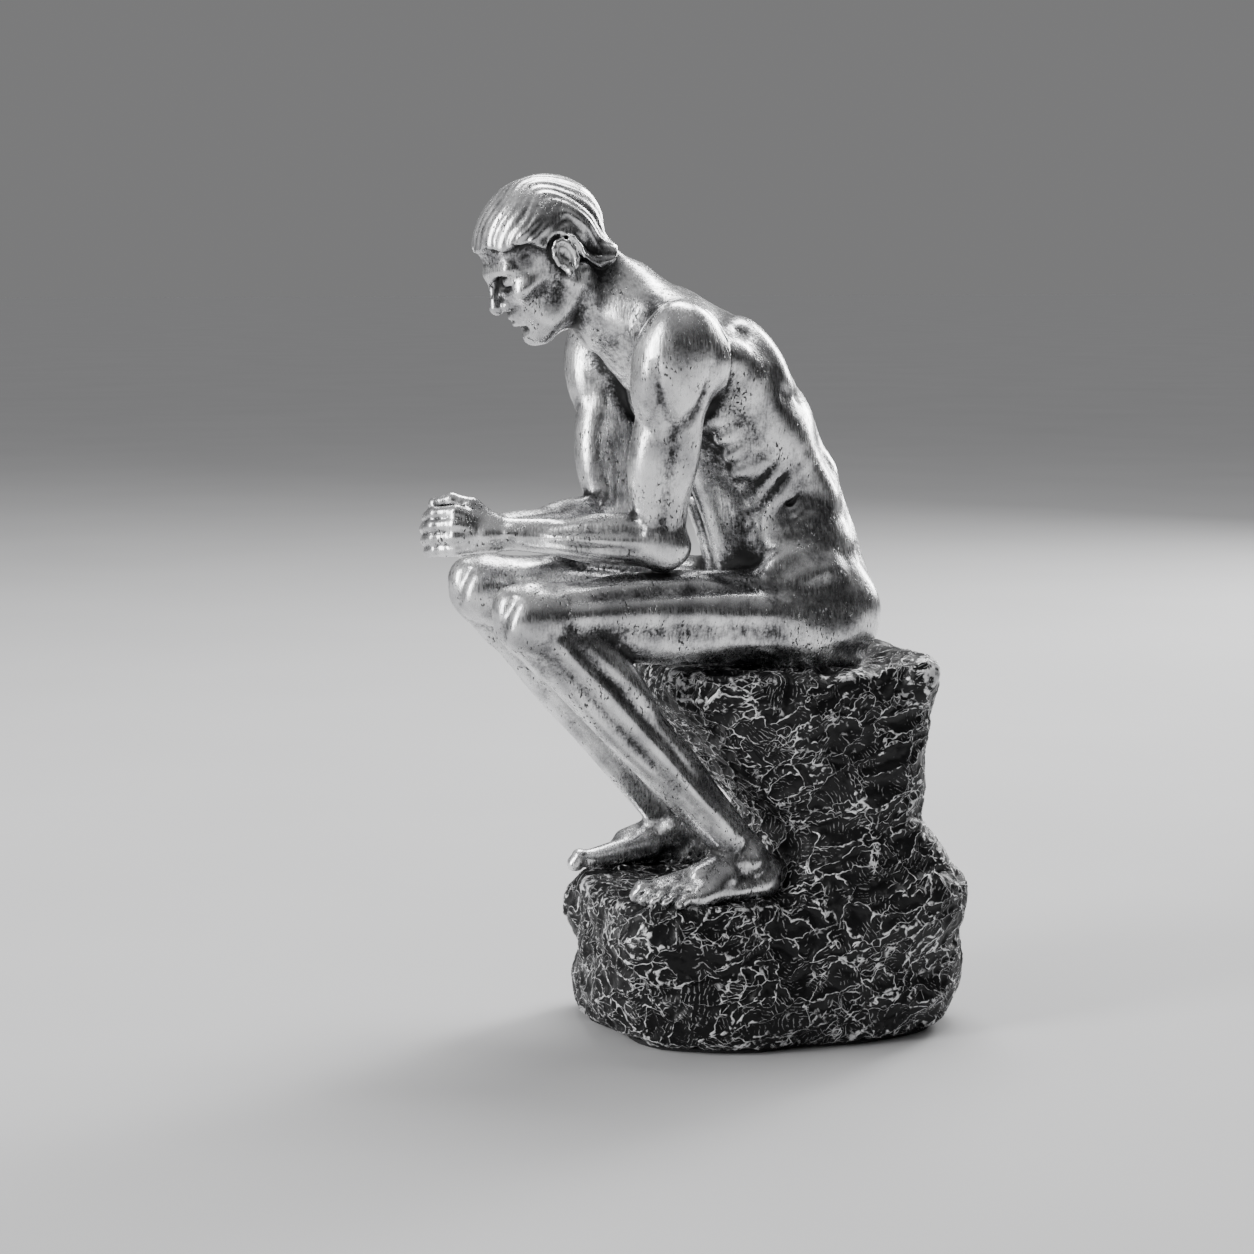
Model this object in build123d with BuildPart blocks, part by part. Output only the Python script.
"""Seated pensive figure on a rough rock, an ornament of cast resin sections pinned and bolted together.

The figure faces -X and its left side is towards -Y. The origin is the middle of the underside, +Z is up.
All lengths are in millimetres and all angles in degrees.
"""

from build123d import *

import os
from dataclasses import dataclass
from math import atan, ceil, cos, degrees, pi, radians, sin

# Rock and foot ledge
seat_height = 114.0
ledge_height = 45.0
base_length = 116.0
base_width = 92.0
seat_length = 88.0
seat_width = 80.0
seat_setback = 5.0
waist_width = 72.0
waist_back = 45.0
waist_height = 66.0
heel_gap = 1.0
knob_radius = 7.5
knob_height = 8.0
rock_wall = 6.5
rock_bevel = 4.0
rock_corners = 32
rock_roughness = 0.026
rock_twist = 2.6
rock_step = 13.0
rock_squareness = 3.2

# Base closure
felt_thickness = 1.5
felt_inset = 3.0
plate_thickness = 3.0
plate_shelf = 1.5
plate_clearance = 0.25
boss_radius = 5.0
boss_cover = 3.0
ballast_gap = 2.0
ballast_headroom = 10.0

# Seat bolt and its insert
bolt_radius = 2.5
bolt_reach = 10.0
bolt_head_radius = 4.6
bolt_head_height = 3.4
bolt_socket_radius = 2.4
bolt_socket_depth = 2.0
washer_radius = 6.5
washer_thickness = 1.2
insert_radius = 4.0
insert_length = 12.0

# Base screws
screw_radius = 1.5
screw_length = 13.0
screw_head_radius = 3.0
screw_head_height = 1.8
screw_slot_width = 0.8
screw_slot_depth = 0.9

# Dowels
neck_dowel_radius = 2.0
neck_dowel_length = 18.0
shoulder_dowel_radius = 2.0
shoulder_dowel_length = 14.0
thigh_dowel_radius = 2.5
thigh_dowel_length = 20.0
foot_dowel_radius = 1.2
foot_dowel_length = 13.0
foot_dowel_floor = 2.0
pin_clearance = 0.06
pin_end_gap = 0.3
touch_gap = 0.3

# Seat and hips
hip_setback = 5.0
hip_rise = 15.0
hip_half_span = 17.0
hip_radius = 16.4

# Trunk sections: half widths and half depths
seat_half_width = 27.0
seat_half_depth = 22.0
pelvis_half_width = 29.5
pelvis_half_depth = 24.5
flank_half_width = 29.0
flank_half_depth = 21.5
waist_half_width = 25.5
waist_half_depth = 18.5
rib_half_width = 29.0
rib_half_depth = 19.2
chest_half_width = 33.0
chest_half_depth = 19.8
girdle_half_width = 36.0
girdle_half_depth = 16.0
trapezius_half_width = 25.0
trapezius_half_depth = 14.5
neck_root_radius = 13.4

# Muscles of the trunk
back_cord_radius = 6.4
back_cord_setback = 14.2
back_cord_half_span = 7.5
belly_cord_radius = 6.8
belly_cord_reach = 14.3
belly_cord_half_span = 5.8
slope_radius = 6.4
slope_neck_setback = 7.5
slope_neck_half_span = 9.0
slope_setback = 4.4
slope_half_span = 20.0
blade_length = 30.0
blade_half_width = 10.5
blade_half_depth = 6.6
blade_setback = 12.5
blade_half_span = 18.0
blade_drop = 2.0
buttock_radius = 17.2
buttock_setback = 8.0
buttock_half_span = 14.5

# Spine: length and forward lean of each stretch
pelvis_length = 19.0
loin_length = 18.0
rib_length = 21.0
chest_length = 21.0
girdle_length = 22.6
trapezius_length = 7.0
neck_root_length = 7.0
pelvis_lean_angle = 8.0
loin_lean_angle = 14.5
rib_lean_angle = 23.7
chest_lean_angle = 37.8
girdle_lean_angle = 52.3
trapezius_lean_angle = 52.0
neck_root_lean_angle = 56.0
pelvis_setback = 3.0

# Neck and head
neck_length = 8.0
neck_lean_angle = 60.0
neck_radius = 12.2
skull_forward = 15.0
skull_up = 11.0
head_height = 44.0
head_width = 31.0
head_depth = 39.0
head_bow_angle = 30.0
hair_depth = 1.4
nose_length = 9.0
nose_width = 6.0
nose_height = 4.0
ear_height = 10.5
ear_width = 6.0
ear_depth = 2.5

# Arms
shoulder_half_span = 35.5
shoulder_seam = 31.0
shoulder_drop = 4.0
shoulder_forward = 3.0
deltoid_radius = 13.0
upper_arm_radius = 10.4
elbow_radius = 8.0
forearm_radius = 8.6
wrist_radius = 5.4
elbow_station = 50.0
elbow_outset = 3.0
clasp_reach = 43.0
clasp_rise = 1.0
wrist_half_span = 7.5

# Hands
fist_length = 16.0
fist_width = 12.0
fist_height = 16.5
fist_rounding = 4.5
palm_thickness = 5.0
palm_height = 15.5
palm_rounding = 2.2
finger_radius = 2.1
finger_wrap = 3.5
finger_count = 4

# Legs
thigh_length = 88.0
thigh_spread_angle = 7.0
left_thigh_rise_angle = 2.5
right_thigh_rise_angle = 4.5
thigh_seam = 27.0
thigh_seam_radius = 15.6
thigh_mid_radius = 14.2
knee_radius = 11.6
left_ankle_run = 66.0
right_ankle_run = 61.0
calf_radius = 11.8
calf_setback = 3.4
ankle_radius = 6.4
ankle_height = 13.0
foot_length = 47.0
foot_half_width = 9.4
heel_setback = 11.0
toe_out_angle = 8.0
toe_radius = 2.6
toe_length = 9.0
toe_count = 5

LEFT, RIGHT = -1, 1
SIDES = {LEFT: "left", RIGHT: "right"}
UP = Vector(0, 0, 1)
AFT = Vector(1, 0, 0)
OUT = Vector(0, 1, 0)


@dataclass
class Ring:
    """One elliptical section of a lofted form: its middle, its normal and its two half axes."""

    middle: Vector
    along: Vector
    across: Vector
    half_width: float
    half_depth: float


def loft_rings(rings: list[Ring], grow: float = 0.0) -> None:
    """Lofts through elliptical sections into the part being built, each grown by the same margin."""
    profiles = []
    for ring in rings:
        with BuildSketch(Plane(ring.middle, x_dir=ring.across, z_dir=ring.along)) as profile:
            Ellipse(ring.half_width + grow, ring.half_depth + grow)
        profiles.append(profile.sketch)
    loft(profiles)


def round_limb(start: Vector, end: Vector, sizes: list[tuple]) -> None:
    """Lofts a limb along a straight bone; each size is its share of the bone, its radius and its setback."""
    bone = end - start
    loft_rings(
        [
            Ring(start + bone * share + AFT * setback, bone.normalized(), OUT, radius, radius)
            for share, radius, setback in sizes
        ]
    )


def put_ball(middle: Vector, radius: float) -> None:
    """Adds a ball to the part being built."""
    with Locations(middle):
        Sphere(radius)


def put_pin(start: Vector, along: Vector, radius: float, length: float, mode: Mode = Mode.ADD) -> None:
    """Adds or cuts a round pin that runs from a point along a direction."""
    with BuildSketch(Plane(start, z_dir=along)) as profile:
        Circle(radius)
    extrude(profile.sketch, amount=length, dir=along, mode=mode)


def cut_pin_hole(start: Vector, along: Vector, radius: float, length: float) -> None:
    """Cuts the hole for a pin, wider and longer than the pin by its clearances."""
    hole_start = start - along * pin_end_gap
    put_pin(hole_start, along, radius + pin_clearance, length + 2 * pin_end_gap, mode=Mode.SUBTRACT)


def lean_direction(lean: float) -> Vector:
    """The upward direction tipped forwards, towards -X, by an angle."""
    return Vector(-sin(radians(lean)), 0, cos(radians(lean)))


def back_direction(lean_angle: float) -> Vector:
    """The way out of the back, square to a stretch of the spine that leans forwards by an angle."""
    return Vector(cos(radians(lean_angle)), 0, sin(radians(lean_angle)))


# Skeleton of the legs
hip_middle = Vector(hip_setback, 0, seat_height + hip_rise)
hips = {side: hip_middle + OUT * side * hip_half_span for side in SIDES}
thigh_rises = {LEFT: left_thigh_rise_angle, RIGHT: right_thigh_rise_angle}
ankle_runs = {LEFT: left_ankle_run, RIGHT: right_ankle_run}


def thigh_direction(side: int) -> Vector:
    """The way from a hip to its knee: forwards, a little outwards and a little up."""
    level = cos(radians(thigh_rises[side]))
    spread = radians(thigh_spread_angle)
    return Vector(-level * cos(spread), side * level * sin(spread), sin(radians(thigh_rises[side])))


knees = {side: hips[side] + thigh_direction(side) * thigh_length for side in SIDES}
ankles = {
    side: Vector(knees[side].X + ankle_runs[side], knees[side].Y, ledge_height + ankle_height) for side in SIDES
}
toe_ways = {side: Vector(-cos(radians(toe_out_angle)), side * sin(radians(toe_out_angle)), 0) for side in SIDES}

# Skeleton of the trunk and head
spine_steps = [
    (pelvis_length, pelvis_lean_angle),
    (loin_length, loin_lean_angle),
    (rib_length, rib_lean_angle),
    (chest_length, chest_lean_angle),
    (girdle_length, girdle_lean_angle),
    (trapezius_length, trapezius_lean_angle),
    (neck_root_length, neck_root_lean_angle),
]
spine = [hip_middle + AFT * pelvis_setback]
for step_length, step_lean in spine_steps:
    spine.append(spine[-1] + lean_direction(step_lean) * step_length)
pelvis, flank, waist, ribs, chest, girdle, trapezius, neck_root = spine
skull_middle = neck_root + lean_direction(neck_lean_angle) * neck_length + Vector(-skull_forward, 0, skull_up)
crown_way = lean_direction(head_bow_angle)
face_way = Vector(-cos(radians(head_bow_angle)), 0, -sin(radians(head_bow_angle)))
neck_seam_way = lean_direction((neck_root_lean_angle + neck_lean_angle) / 2)

# Skeleton of the arms: each elbow rests on its thigh and the wrists meet before the knees
shoulders = {
    side: girdle + Vector(-shoulder_forward, side * shoulder_half_span, -shoulder_drop) for side in SIDES
}


def thigh_radius_at(distance: float) -> float:
    """The thigh's radius at a distance from the hip, between its seam, middle and knee sections."""
    middle_station = (thigh_seam + thigh_length) / 2
    if distance < middle_station:
        share = (distance - thigh_seam) / (middle_station - thigh_seam)
        return thigh_seam_radius + (thigh_mid_radius - thigh_seam_radius) * share
    share = (distance - middle_station) / (thigh_length - middle_station)
    return thigh_mid_radius + (knee_radius - thigh_mid_radius) * share


def elbow_place(side: int) -> Vector:
    """Where an elbow rests on top of its thigh."""
    along = thigh_direction(side)
    square_up = (UP - along * along.Z).normalized()
    standoff = thigh_radius_at(elbow_station) + elbow_radius + touch_gap
    return hips[side] + along * elbow_station + square_up * standoff + OUT * side * elbow_outset


elbows = {side: elbow_place(side) for side in SIDES}
clasp_middle = (elbows[LEFT] + elbows[RIGHT]) * 0.5 + Vector(-clasp_reach, 0, clasp_rise)
wrists = {side: clasp_middle + OUT * side * wrist_half_span for side in SIDES}

# Trunk sections, from the seat up to the neck
trunk_rings = [
    Ring(pelvis + AFT * pelvis_setback - UP * hip_rise, UP, OUT, seat_half_width, seat_half_depth),
    Ring(pelvis, UP, OUT, pelvis_half_width, pelvis_half_depth),
    Ring(flank, lean_direction(pelvis_lean_angle / 2), OUT, flank_half_width, flank_half_depth),
    Ring(waist, lean_direction(loin_lean_angle), OUT, waist_half_width, waist_half_depth),
    Ring(ribs, lean_direction(rib_lean_angle), OUT, rib_half_width, rib_half_depth),
    Ring(chest, lean_direction(chest_lean_angle), OUT, chest_half_width, chest_half_depth),
    Ring(girdle, lean_direction(girdle_lean_angle), OUT, girdle_half_width, girdle_half_depth),
    Ring(trapezius, lean_direction(trapezius_lean_angle), OUT, trapezius_half_width, trapezius_half_depth),
    Ring(neck_root, neck_seam_way, OUT, neck_root_radius, neck_root_radius),
]


def cord_rings(side: int, reach: float, half_span: float, radius: float, stations: list[tuple]) -> list[Ring]:
    """Sections of a long muscle on one side of the trunk, each a share of its reach out of the spine."""
    return [
        Ring(
            middle + back_direction(angle) * reach * share + OUT * side * half_span,
            lean_direction(angle),
            OUT,
            radius,
            radius,
        )
        for middle, angle, share in stations
    ]


def back_cord_rings(side: int) -> list[Ring]:
    """Sections of the long muscle beside the spine; its ends sink into the trunk."""
    stations = [
        (pelvis, pelvis_lean_angle, 0.6),
        (flank, loin_lean_angle, 1.0),
        (waist, loin_lean_angle, 0.95),
        (ribs, rib_lean_angle, 1.0),
        (chest, chest_lean_angle, 1.0),
        (girdle, girdle_lean_angle, 0.6),
    ]
    return cord_rings(side, back_cord_setback, back_cord_half_span, back_cord_radius, stations)


def belly_cord_rings(side: int) -> list[Ring]:
    """Sections of the long muscle beside the middle of the belly; its ends sink into the trunk."""
    stations = [
        (pelvis, pelvis_lean_angle, 0.5),
        (flank, loin_lean_angle, 1.0),
        (waist, loin_lean_angle, 1.0),
        (ribs, rib_lean_angle, 1.0),
        (chest, chest_lean_angle, 0.5),
    ]
    return cord_rings(side, -belly_cord_reach, belly_cord_half_span, belly_cord_radius, stations)


def slope_rings(side: int) -> list[Ring]:
    """Sections of the slope from the neck to one shoulder; it ends past the shoulder's seam."""
    neck_end = trapezius + back_direction(trapezius_lean_angle) * slope_neck_setback
    neck_end += OUT * side * slope_neck_half_span
    crest = girdle + back_direction(girdle_lean_angle) * slope_setback + OUT * side * slope_half_span
    shoulder_end = girdle + back_direction(girdle_lean_angle) * slope_setback / 2
    shoulder_end += OUT * side * (shoulder_seam + slope_radius / 2)
    along = (shoulder_end - neck_end).normalized()
    return [Ring(place, along, AFT, slope_radius, slope_radius) for place in (neck_end, crest, shoulder_end)]


def blade_rings(side: int) -> list[Ring]:
    """Sections of one shoulder blade, from its lower tip to its top."""
    along = lean_direction((rib_lean_angle + chest_lean_angle) / 2)
    outwards = back_direction((rib_lean_angle + chest_lean_angle) / 2)
    middle = chest - along * blade_drop + outwards * blade_setback + OUT * side * blade_half_span
    rings = []
    for station in (-0.45, -0.25, 0.0, 0.25, 0.45):
        fullness = (1 - (2 * station) ** 2) ** 0.5
        place = middle + along * blade_length * station
        rings.append(Ring(place, along, OUT, blade_half_width * fullness, blade_half_depth * fullness))
    return rings


def thigh_ring(side: int, distance: float, radius: float) -> Ring:
    """A round section of a thigh at a distance from its hip."""
    along = thigh_direction(side)
    return Ring(hips[side] + along * distance, along, OUT, radius, radius)


def thigh_rings(side: int) -> list[Ring]:
    """The sections of a leg casting's thigh, from its seam to its knee."""
    return [
        thigh_ring(side, thigh_seam, thigh_seam_radius),
        thigh_ring(side, (thigh_seam + thigh_length) / 2, thigh_mid_radius),
        thigh_ring(side, thigh_length, knee_radius),
    ]


def trim_shoulders() -> None:
    """Cuts the part being built flat where the arms are joined to the trunk."""
    block = girdle_half_width * 2
    for side in SIDES:
        with Locations((shoulders[side].X, side * (shoulder_seam + girdle_half_width), shoulders[side].Z)):
            Box(block, block, block, mode=Mode.SUBTRACT)


def trim_neck() -> None:
    """Cuts the part being built flat where the neck is joined to the trunk."""
    block = girdle_half_width * 2
    with Locations(Plane(neck_root, x_dir=OUT, z_dir=neck_seam_way)):
        Box(block, block, block, align=(Align.CENTER, Align.CENTER, Align.MIN), mode=Mode.SUBTRACT)


def trim_below(height: float) -> None:
    """Cuts off whatever of the part being built lies below a height."""
    block = base_length * 2
    with Locations((0, 0, height)):
        Box(block, block, block, align=(Align.CENTER, Align.CENTER, Align.MAX), mode=Mode.SUBTRACT)


# Dowels: where each starts
neck_dowel_start = neck_root - neck_seam_way * neck_dowel_length / 2
shoulder_dowel_starts = {
    side: Vector(shoulders[side].X, side * (shoulder_seam - shoulder_dowel_length / 2), shoulders[side].Z)
    for side in SIDES
}
thigh_dowel_starts = {
    side: hips[side] + thigh_direction(side) * (thigh_seam - thigh_dowel_length / 2) for side in SIDES
}
foot_dowel_starts = {
    side: Vector(ankles[side].X, ankles[side].Y, ledge_height - rock_wall + foot_dowel_floor) for side in SIDES
}


def cut_dowel_holes() -> None:
    """Cuts every dowel's hole from the part being built."""
    cut_pin_hole(neck_dowel_start, neck_seam_way, neck_dowel_radius, neck_dowel_length)
    for side in SIDES:
        cut_pin_hole(shoulder_dowel_starts[side], OUT * side, shoulder_dowel_radius, shoulder_dowel_length)
        cut_pin_hole(thigh_dowel_starts[side], thigh_direction(side), thigh_dowel_radius, thigh_dowel_length)
        cut_pin_hole(foot_dowel_starts[side], UP, foot_dowel_radius, foot_dowel_length)


# Torso casting, from the seat to the neck, with the roots of the thighs
seat_bolt_place = Vector(pelvis.X, 0, seat_height)
with BuildPart() as torso:
    loft_rings(trunk_rings)
    for side in SIDES:
        loft_rings(back_cord_rings(side))
        loft_rings(belly_cord_rings(side))
        loft_rings(slope_rings(side))
        loft_rings(blade_rings(side))
    trim_shoulders()
    trim_neck()
    for side in SIDES:
        put_ball(hip_middle + AFT * buttock_setback + OUT * side * buttock_half_span, buttock_radius)
        put_ball(hips[side], hip_radius)
        loft_rings([thigh_ring(side, 0, hip_radius), thigh_ring(side, thigh_seam, thigh_seam_radius)])
    trim_below(seat_height)
    cut_dowel_holes()
    cut_pin_hole(seat_bolt_place, UP, insert_radius, insert_length)

# Head casting; each section is its share of the head's height, half width, half depth and forward shift
skull_profile = [
    (-0.48, 0.19, 0.15, 0.29),
    (-0.36, 0.35, 0.29, 0.18),
    (-0.15, 0.44, 0.42, 0.06),
    (0.05, 0.485, 0.48, 0.0),
    (0.2, 0.5, 0.5, -0.01),
    (0.36, 0.43, 0.42, -0.02),
    (0.46, 0.26, 0.26, -0.03),
    (0.5, 0.09, 0.09, -0.03),
]
hair_profile = [
    (-0.22, 0.32, 0.2, -0.24),
    (-0.05, 0.45, 0.34, -0.14),
    (0.12, 0.495, 0.44, -0.06),
    (0.25, 0.49, 0.49, -0.01),
    (0.37, 0.42, 0.41, -0.02),
    (0.47, 0.24, 0.24, -0.03),
    (0.505, 0.08, 0.08, -0.03),
]


def head_place(forward: float, rise: float, outward: float = 0.0) -> Vector:
    """A point of the head at shares of its depth, height and width from the skull's middle."""
    upright = skull_middle + face_way * head_depth * forward + crown_way * head_height * rise
    return upright + OUT * head_width * outward


def skull_rings(profile: list[tuple]) -> list[Ring]:
    """Sections of the head, square to its own upright, from a profile of shares."""
    return [
        Ring(head_place(forward, rise), crown_way, OUT, head_width * half_width, head_depth * half_depth)
        for rise, half_width, half_depth, forward in profile
    ]


nape = head_place(-0.12, -0.12)
brow = head_place(0.46, 0.1)
nose_tip = brow - crown_way * nose_length + face_way * nose_height / 2
with BuildPart() as head:
    loft_rings(skull_rings(skull_profile))
    loft_rings(skull_rings(hair_profile), grow=hair_depth)
    loft_rings(
        [
            Ring(neck_root, neck_seam_way, OUT, neck_root_radius, neck_root_radius),
            Ring((neck_root + nape) * 0.5, lean_direction(neck_lean_angle), OUT, neck_radius, neck_radius),
            Ring(nape, lean_direction(neck_lean_angle), OUT, neck_radius, neck_radius),
        ]
    )
    loft_rings(
        [
            Ring(brow, crown_way, OUT, nose_width / 4, nose_height / 4),
            Ring(nose_tip, crown_way, OUT, nose_width / 2, nose_height / 2),
        ]
    )
    for side in SIDES:
        ear = head_place(-0.06, 0.0, side * 0.45)
        ear_rim = ear + OUT * side * ear_depth
        loft_rings(
            [
                Ring(ear, OUT * side, crown_way, ear_height / 2, ear_width / 2),
                Ring(ear_rim, OUT * side, crown_way, ear_height / 2, ear_width / 2),
            ]
        )
    cut_dowel_holes()


def add_foot(side: int) -> None:
    """Adds a foot with its toes to the leg being built."""
    forwards = toe_ways[side]
    inwards = Vector(-forwards.Y, forwards.X, 0) * side
    sole = Vector(ankles[side].X, ankles[side].Y, ledge_height)
    toe_root = foot_length - heel_setback - toe_length
    # How far ahead of the ankle each section lies, and its shares of the foot's half width and ankle height
    sections = [
        (-heel_setback, 0.42, 0.38, 0.45),
        (-heel_setback / 2, 0.74, 0.62, 0.5),
        (toe_root * 0.25, 0.82, 0.68, 0.56),
        (toe_root * 0.65, 0.94, 0.52, 0.36),
        (toe_root * 0.9, 1.0, 0.36, 0.26),
        (toe_root * 1.08, 0.96, 0.26, 0.2),
    ]
    loft_rings(
        [
            Ring(
                sole + forwards * ahead + UP * ankle_height * height,
                forwards,
                inwards,
                foot_half_width * half_width,
                ankle_height * half_height,
            )
            for ahead, half_width, half_height, height in sections
        ]
    )
    for toe in range(toe_count):
        across = (1 - 2 * toe / (toe_count - 1)) * (foot_half_width - toe_radius)
        radius = toe_radius if toe == 0 else toe_radius * 0.8
        straight = toe_length - radius - toe * toe_radius / 2
        start = sole + forwards * toe_root + inwards * across + UP * radius * 0.8
        put_pin(start, forwards, radius, straight)
        put_ball(start + forwards * straight, radius)


def build_leg(side: int) -> Part:
    """One leg from the thigh seam to the toes, its sole flat on the ledge."""
    shin_radius = (calf_radius + ankle_radius) / 2
    with BuildPart() as leg:
        loft_rings(thigh_rings(side))
        put_ball(knees[side], knee_radius)
        round_limb(
            knees[side],
            ankles[side],
            [
                (0.0, knee_radius * 0.93, 0.0),
                (0.28, calf_radius, calf_setback),
                (0.62, shin_radius, calf_setback / 2),
                (1.0, ankle_radius, 0.0),
            ],
        )
        put_ball(ankles[side], ankle_radius)
        add_foot(side)
        trim_below(ledge_height)
        cut_dowel_holes()
    return leg.part


# Room that the arms leave for the trunk and the thighs
with BuildPart() as trunk_room:
    loft_rings(trunk_rings, grow=touch_gap)
    for side in SIDES:
        loft_rings(slope_rings(side), grow=touch_gap)
    trim_shoulders()
with BuildPart() as thigh_room:
    for side in SIDES:
        loft_rings(thigh_rings(side), grow=touch_gap)
        put_ball(knees[side], knee_radius + touch_gap)

# Clasped hands: the right one is a fist, and the left one's palm and fingers lie round it
fist_middle = clasp_middle + Vector(-fist_length / 2 - wrist_radius / 2, fist_width / 4, 0)
palm_y = fist_middle.Y - fist_width / 2 - touch_gap - palm_thickness / 2
finger_x = fist_middle.X - fist_length / 2 - touch_gap - finger_radius


def add_fist() -> None:
    """Adds the closed right hand to the arm being built."""
    with BuildSketch(Plane.XY.offset(fist_middle.Z - fist_height / 2)) as fist_plan:
        with Locations((fist_middle.X, fist_middle.Y)):
            RectangleRounded(fist_length, fist_width, fist_rounding)
    extrude(fist_plan.sketch, amount=fist_height)


def add_wrapped_hand() -> None:
    """Adds the left hand to the arm being built: a palm beside the fist and fingers round its front."""
    with BuildSketch(Plane.XY.offset(fist_middle.Z - palm_height / 2)) as palm_plan:
        with Locations((fist_middle.X + finger_radius, palm_y)):
            RectangleRounded(fist_length, palm_thickness, palm_rounding)
    extrude(palm_plan.sketch, amount=palm_height)
    for finger in range(finger_count):
        height = fist_middle.Z + palm_height * ((finger + 0.5) / finger_count - 0.5)
        knuckle = Vector(fist_middle.X, palm_y, height)
        tip = Vector(finger_x, fist_middle.Y + finger_wrap, height)
        with BuildLine() as finger_line:
            FilletPolyline(knuckle, (finger_x, palm_y, height), tip, radius=finger_radius * 1.2)
        with BuildSketch(Plane(knuckle, z_dir=-AFT)) as finger_end:
            Circle(finger_radius)
        sweep(finger_end.sketch, path=finger_line.line)
        put_ball(tip, finger_radius)


def build_arm(side: int) -> Part:
    """One arm from its shoulder seam to its hand, clear of the trunk and the thigh that it rests on."""
    with BuildPart() as arm:
        put_ball(shoulders[side], deltoid_radius)
        round_limb(
            shoulders[side],
            elbows[side],
            [
                (0.0, upper_arm_radius, 0.0),
                (0.4, upper_arm_radius, 0.0),
                (0.75, (upper_arm_radius + elbow_radius) / 2, 0.0),
                (1.0, elbow_radius * 0.95, 0.0),
            ],
        )
        put_ball(elbows[side], elbow_radius)
        round_limb(
            elbows[side],
            wrists[side],
            [
                (0.0, elbow_radius * 0.95, 0.0),
                (0.3, forearm_radius, 0.0),
                (0.65, (forearm_radius + wrist_radius) / 2, 0.0),
                (1.0, wrist_radius, 0.0),
            ],
        )
        put_ball(wrists[side], wrist_radius)
        if side == RIGHT:
            add_fist()
        else:
            add_wrapped_hand()
        add(trunk_room.part, mode=Mode.SUBTRACT)
        add(thigh_room.part, mode=Mode.SUBTRACT)
        cut_dowel_holes()
    return arm.part


# Rock; each level is its height, its middle, its length and its width
column_front = max(ankle.X for ankle in ankles.values()) + heel_setback + heel_gap
column_foot_back = (base_length - rock_bevel) / 2
column_foot_middle = (column_front + column_foot_back) / 2
column_foot_length = column_foot_back - column_front
column_foot_width = base_width - rock_bevel * 2
waist_middle = (column_front + waist_back) / 2
waist_length = waist_back - column_front
brim_height = seat_height - rock_bevel * 2
belly_height = (waist_height + brim_height) / 2
belly_middle = (waist_middle + seat_setback) / 2
belly_length = (waist_length + seat_length) / 2
belly_width = (waist_width + seat_width) / 2


def rock_levels(stations: list[tuple]) -> list[tuple]:
    """Levels at each station of the rock and at even steps between them."""
    levels = [stations[0]]
    for low, high in zip(stations, stations[1:]):
        steps = ceil((high[0] - low[0]) / rock_step)
        for step in range(1, steps + 1):
            levels.append(tuple(a + (b - a) * step / steps for a, b in zip(low, high)))
    return levels


ledge_levels = rock_levels(
    [
        (felt_thickness, 0.0, base_length - rock_bevel * 2, base_width - rock_bevel * 2),
        (ledge_height * 0.28, 0.0, base_length, base_width),
        (ledge_height * 0.7, 0.0, base_length - rock_bevel / 2, base_width - rock_bevel),
        (ledge_height, 0.0, base_length - rock_bevel, column_foot_width),
    ]
)
seat_levels = rock_levels(
    [
        (ledge_height - rock_wall * 1.5, column_foot_middle, column_foot_length, column_foot_width),
        (ledge_height, column_foot_middle, column_foot_length, column_foot_width),
        (waist_height, waist_middle, waist_length, waist_width),
        (belly_height, belly_middle, belly_length, belly_width),
        (brim_height, seat_setback, seat_length, seat_width),
        (seat_height, seat_setback, seat_length - rock_bevel, seat_width - rock_bevel),
    ]
)
# Which of an outline's corners stand nearest its four diagonals
diagonal_corners = [rock_corners * quarter // 8 for quarter in (1, 3, 5, 7)]


def rock_lumps(angle: float, height: float) -> float:
    """How far the rock swells or sinks at an angle round it and a height, as a share of its size."""
    turn = rock_twist * 2 * pi * height / seat_height
    waves = sin(3 * angle + turn / 2) + 0.8 * sin(5 * angle - turn) + 0.8 * sin(9 * angle + turn * 2)
    return 1 + rock_roughness * waves


def rock_outline(level: tuple, inset: float) -> list[tuple]:
    """Corners of one rough, squarish level of the rock, drawn in by an inset."""
    height, middle, length, width = level
    corners = []
    for corner in range(rock_corners):
        angle = 2 * pi * corner / rock_corners
        along = abs(cos(angle) / (length / 2 - inset)) ** rock_squareness
        across = abs(sin(angle) / (width / 2 - inset)) ** rock_squareness
        reach = (along + across) ** (-1 / rock_squareness) * rock_lumps(angle, height)
        corners.append((middle + reach * cos(angle), reach * sin(angle)))
    return corners


def loft_rock(levels: list[tuple], inset: float = 0.0, mode: Mode = Mode.ADD) -> None:
    """Lofts flat facets through rough levels into the part being built, drawn in at the sides and top."""
    profiles = []
    for level in levels:
        lowered = inset if level is levels[-1] else 0.0
        with BuildSketch(Plane.XY.offset(level[0] - lowered)) as profile:
            Polygon(*rock_outline(level, inset), align=None)
        profiles.append(profile.sketch)
    loft(profiles, ruled=True, mode=mode)


def put_base_slab(bottom: float, thickness: float, inset: float, mode: Mode = Mode.ADD) -> None:
    """Adds or cuts a slab of the underside's outline, drawn in by an inset."""
    with BuildSketch(Plane.XY.offset(bottom)) as slab_plan:
        Polygon(*rock_outline(ledge_levels[0], inset), align=None)
    extrude(slab_plan.sketch, amount=thickness, mode=mode)


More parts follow.
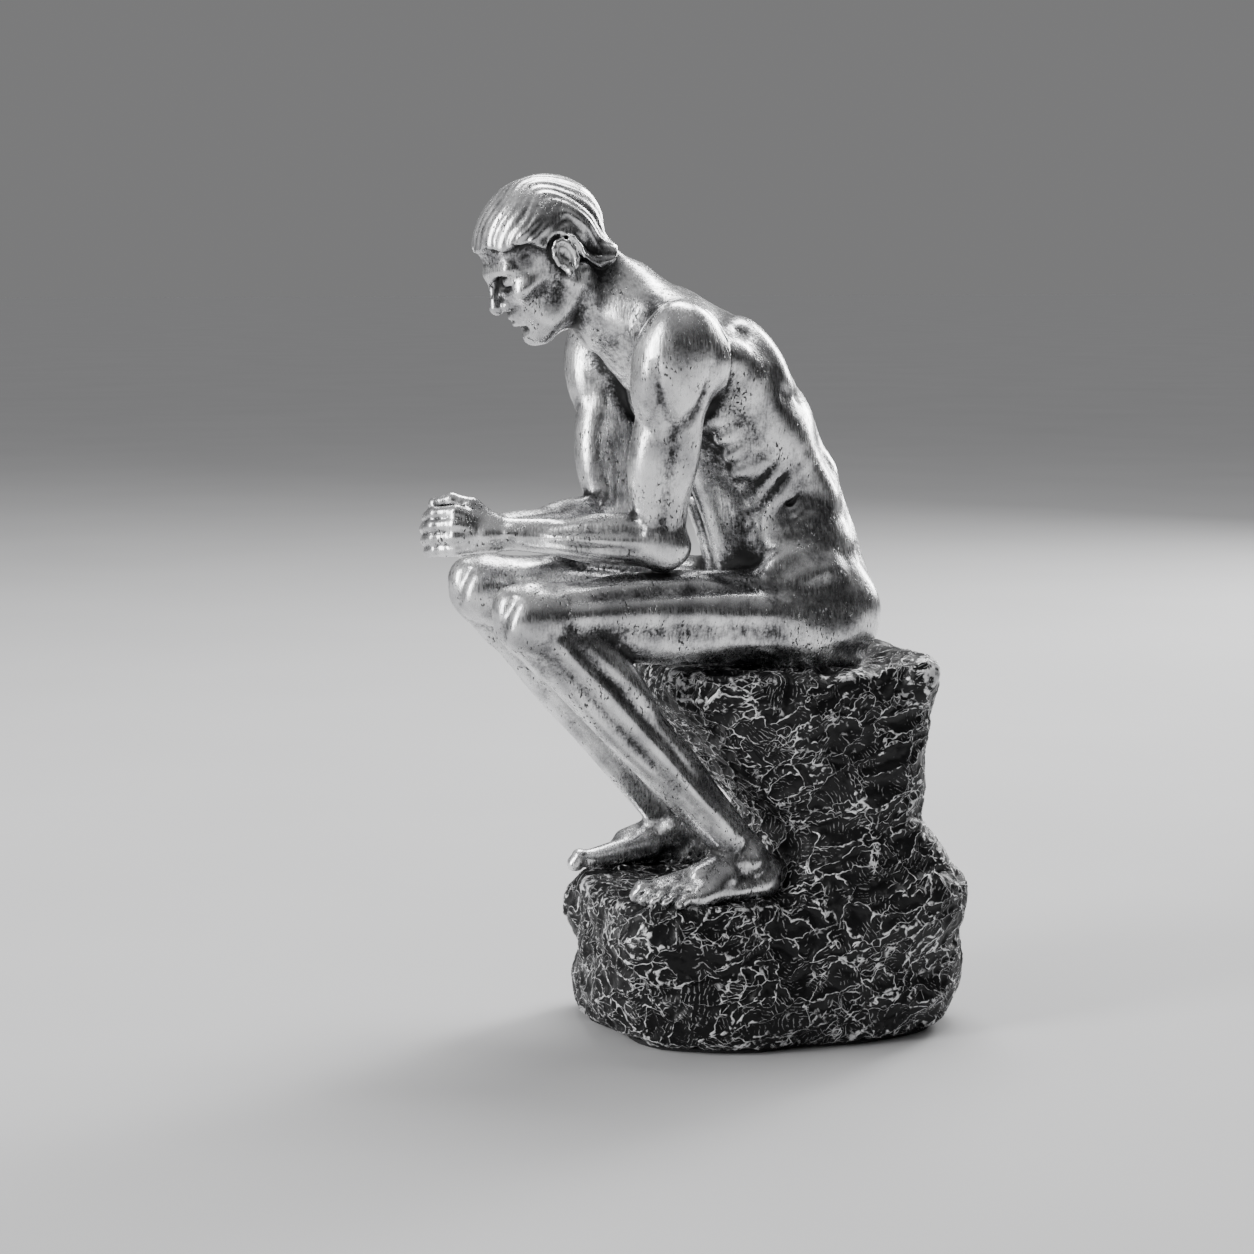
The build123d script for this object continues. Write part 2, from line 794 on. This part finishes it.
plate_rim = rock_wall - plate_shelf
plate_top = felt_thickness + plate_thickness
boss_corners = rock_outline(ledge_levels[0], rock_wall + boss_radius / 2)
boss_places = [Vector(*boss_corners[corner], felt_thickness) for corner in diagonal_corners]
boss_height = screw_length - plate_thickness + boss_cover
knob_corners = rock_outline(seat_levels[-1], knob_radius / 2)
ceiling_height = seat_height - rock_wall

with BuildPart() as rock_base:
    loft_rock(ledge_levels)
    loft_rock(seat_levels)
    for corner in (diagonal_corners[0], diagonal_corners[-1]):
        knob_profiles = []
        for height, share in ((brim_height, 1.0), (seat_height + knob_height, 0.55)):
            with BuildSketch(Plane.XY.offset(height)) as knob_profile:
                with Locations(knob_corners[corner]):
                    RegularPolygon(knob_radius * share, 5)
            knob_profiles.append(knob_profile.sketch)
        loft(knob_profiles, ruled=True)
    add(trunk_room.part, mode=Mode.SUBTRACT)
    loft_rock(ledge_levels, inset=rock_wall, mode=Mode.SUBTRACT)
    loft_rock(seat_levels, inset=rock_wall, mode=Mode.SUBTRACT)
    for place in boss_places:
        put_pin(place + UP * plate_thickness, UP, boss_radius, boss_height)
    put_base_slab(felt_thickness, plate_thickness, plate_rim - plate_clearance, mode=Mode.SUBTRACT)
    for place in boss_places:
        cut_pin_hole(place, UP, screw_radius, screw_length)
    cut_pin_hole(seat_bolt_place - UP * rock_wall, UP, bolt_radius, rock_wall)
    cut_dowel_holes()

# Base closure: felt, plate, countersunk screws and ballast
countersink_angle = 2 * degrees(atan((screw_head_radius - screw_radius) / screw_head_height))
with BuildPart() as felt_pad:
    put_base_slab(0, felt_thickness, felt_inset)

with BuildPart() as base_plate:
    put_base_slab(felt_thickness, plate_thickness, plate_rim)
    with Locations(*[Plane(place, z_dir=-UP) for place in boss_places]):
        CounterSinkHole(
            screw_radius + pin_clearance,
            screw_head_radius + pin_clearance,
            depth=plate_thickness,
            counter_sink_angle=countersink_angle,
        )

with BuildPart() as base_screws:
    for place in boss_places:
        with Locations(place):
            Cone(
                screw_head_radius,
                screw_radius,
                screw_head_height,
                align=(Align.CENTER, Align.CENTER, Align.MIN),
            )
        put_pin(place, UP, screw_radius, screw_length)
        with Locations(place):
            Box(screw_head_radius * 2, screw_slot_width, screw_slot_depth * 2, mode=Mode.SUBTRACT)

with BuildPart() as ballast_block:
    put_base_slab(
        plate_top,
        ledge_height - rock_wall - plate_top - ballast_headroom,
        rock_wall + boss_radius * 2 + ballast_gap,
    )

# Seat bolt from inside the rock into the torso's insert
washer_bottom = ceiling_height - washer_thickness
bolt_head_bottom = seat_bolt_place - UP * (rock_wall + washer_thickness + bolt_head_height)
with BuildPart() as seat_bolt:
    put_pin(bolt_head_bottom, UP, bolt_head_radius, bolt_head_height)
    put_pin(bolt_head_bottom, UP, bolt_radius, seat_height + bolt_reach - bolt_head_bottom.Z)
    with BuildSketch(Plane(bolt_head_bottom)) as socket:
        RegularPolygon(bolt_socket_radius, 6)
    extrude(socket.sketch, amount=bolt_socket_depth, mode=Mode.SUBTRACT)

with BuildPart() as seat_washer:
    put_pin(Vector(pelvis.X, 0, washer_bottom), UP, washer_radius, washer_thickness)
    cut_pin_hole(seat_bolt_place - UP * rock_wall * 2, UP, bolt_radius, rock_wall * 2)

with BuildPart() as seat_insert:
    put_pin(seat_bolt_place, UP, insert_radius, insert_length)
    cut_pin_hole(seat_bolt_place, UP, bolt_radius, insert_length)

# Dowels
with BuildPart() as neck_dowel:
    put_pin(neck_dowel_start, neck_seam_way, neck_dowel_radius, neck_dowel_length)

with BuildPart() as shoulder_dowels:
    for side in SIDES:
        put_pin(shoulder_dowel_starts[side], OUT * side, shoulder_dowel_radius, shoulder_dowel_length)

with BuildPart() as thigh_dowels:
    for side in SIDES:
        put_pin(thigh_dowel_starts[side], thigh_direction(side), thigh_dowel_radius, thigh_dowel_length)

with BuildPart() as foot_dowels:
    for side in SIDES:
        put_pin(foot_dowel_starts[side], UP, foot_dowel_radius, foot_dowel_length)

pieces = {
    "rock_base": rock_base.part,
    "torso": torso.part,
    "head": head.part,
    "neck_dowel": neck_dowel.part,
    "shoulder_dowels": shoulder_dowels.part,
    "thigh_dowels": thigh_dowels.part,
    "foot_dowels": foot_dowels.part,
    "seat_bolt": seat_bolt.part,
    "seat_washer": seat_washer.part,
    "seat_insert": seat_insert.part,
    "base_plate": base_plate.part,
    "base_screws": base_screws.part,
    "ballast_block": ballast_block.part,
    "felt_pad": felt_pad.part,
}
for side, side_name in SIDES.items():
    pieces[f"{side_name}_arm"] = build_arm(side)
    pieces[f"{side_name}_leg"] = build_leg(side)

os.makedirs("parts", exist_ok=True)
for name, piece in pieces.items():
    piece.label = name
    export_step(piece, f"parts/{name}.step")
